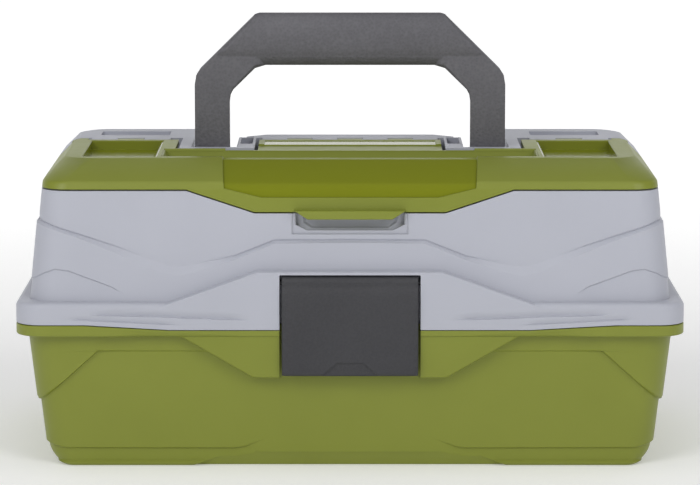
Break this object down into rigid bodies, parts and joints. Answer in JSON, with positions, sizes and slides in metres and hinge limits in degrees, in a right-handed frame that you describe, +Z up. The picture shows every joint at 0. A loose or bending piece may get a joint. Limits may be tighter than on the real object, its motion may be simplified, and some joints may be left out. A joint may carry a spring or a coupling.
{
  "type": "fishing tackle box",
  "caption": "Moulded fishing tackle box with a folding handle, front latch, a tray that rises on arms as the lid opens, and a hinged cover over a compartment in the lid.",
  "frame": {"origin": "middle of the flat underside that the box stands on", "axes": "+X to the right seen from the front, where the latch is; -Y to the front; +Z up"},
  "size_m": [0.343, 0.197, 0.2288],
  "materials": {
    "green_shell": "olive green moulded polypropylene, satin with a fine grain",
    "gray_shell": "cool light gray moulded polypropylene, satin with a fine grain",
    "dark_plastic": "charcoal moulded polypropylene with a pebbled grain",
    "tray_plastic": "light gray moulded polypropylene, satin",
    "steel": "zinc-plated steel wire and rivets"
  },
  "bodies": {
    "base": {"base_shell": "green_shell", "lid_hinge_pins": "steel", "arm_rivets": "steel"},
    "lid": {"lid_shell": "gray_shell", "lid_compartment": "gray_shell", "lid_deck": "gray_shell", "cover_hinge_rods": "steel", "handle_pin_left": "steel", "handle_pin_right": "steel", "latch_pin": "steel", "link_rivets": "steel"},
    "cover": {"top_cover": "green_shell", "cover_tongue": "green_shell"},
    "handle": {"handle": "dark_plastic"},
    "latch": {"latch": "dark_plastic"},
    "front_arm_left": {"front_arm_left": "tray_plastic"},
    "front_arm_right": {"front_arm_right": "tray_plastic"},
    "rear_arm_left": {"rear_arm_left": "tray_plastic"},
    "rear_arm_right": {"rear_arm_right": "tray_plastic"},
    "lid_link_left": {"lid_link_left": "steel"},
    "lid_link_right": {"lid_link_right": "steel"},
    "tray": {"tray_left_half": "tray_plastic", "tray_right_half": "tray_plastic", "front_tray_rivets": "steel", "rear_tray_rivets": "steel", "tray_divider_1": "tray_plastic", "tray_divider_2": "tray_plastic", "tray_divider_3": "tray_plastic", "tray_divider_4": "tray_plastic", "tray_divider_5": "tray_plastic"}
  },
  "joints": [
    {"name": "lid_hinge", "type": "hinge", "parent": "base", "child": "lid", "pos_m": [0, 0.096, 0.076], "axis": [-1, 0, 0], "range_deg": [0, 100]},
    {"name": "latch_hinge", "type": "hinge", "parent": "lid", "child": "latch", "pos_m": [0, -0.0916, 0.098], "axis": [-1, 0, 0], "range_deg": [0, 90]},
    {"name": "cover_hinge", "type": "hinge", "parent": "lid", "child": "cover", "pos_m": [0, 0.024, 0.1552], "axis": [-1, 0, 0], "range_deg": [0, 100]},
    {"name": "handle_fold", "type": "hinge", "parent": "lid", "child": "handle", "pos_m": [0, -0.005, 0.151], "axis": [-1, 0, 0], "range_deg": [0, 90]},
    {"name": "front_arm_left_pivot", "type": "hinge", "parent": "base", "child": "front_arm_left", "pos_m": [-0.152, 0.004, 0.064], "axis": [-1, 0, 0], "range_deg": [0, 100]},
    {"name": "rear_arm_left_pivot", "type": "hinge", "parent": "base", "child": "rear_arm_left", "pos_m": [-0.152, 0.072, 0.064], "axis": [-1, 0, 0], "range_deg": [0, 100]},
    {"name": "lid_link_left_pivot", "type": "hinge", "parent": "lid", "child": "lid_link_left", "pos_m": [-0.1548, 0.046, 0.084], "axis": [-1, 0, 0], "range_deg": [-100, 0]},
    {"name": "front_arm_right_pivot", "type": "hinge", "parent": "base", "child": "front_arm_right", "pos_m": [0.152, 0.004, 0.064], "axis": [-1, 0, 0], "range_deg": [0, 100]},
    {"name": "rear_arm_right_pivot", "type": "hinge", "parent": "base", "child": "rear_arm_right", "pos_m": [0.152, 0.072, 0.064], "axis": [-1, 0, 0], "range_deg": [0, 100]},
    {"name": "lid_link_right_pivot", "type": "hinge", "parent": "lid", "child": "lid_link_right", "pos_m": [0.1548, 0.046, 0.084], "axis": [-1, 0, 0], "range_deg": [-100, 0]},
    {"name": "tray_pivot", "type": "hinge", "parent": "rear_arm_left", "child": "tray", "pos_m": [-0.149, 0.022, 0.072], "axis": [-1, 0, 0], "range_deg": [-100, 0]}
  ],
  "couplings": [
    {"joint": "handle_fold", "follows": "cover_hinge", "ratio": 0.9},
    {"joint": "front_arm_left_pivot", "follows": "lid_hinge", "ratio": 1},
    {"joint": "rear_arm_left_pivot", "follows": "lid_hinge", "ratio": 1},
    {"joint": "lid_link_left_pivot", "follows": "lid_hinge", "ratio": -1},
    {"joint": "front_arm_right_pivot", "follows": "lid_hinge", "ratio": 1},
    {"joint": "rear_arm_right_pivot", "follows": "lid_hinge", "ratio": 1},
    {"joint": "lid_link_right_pivot", "follows": "lid_hinge", "ratio": -1},
    {"joint": "tray_pivot", "follows": "lid_hinge", "ratio": -1}
  ]
}
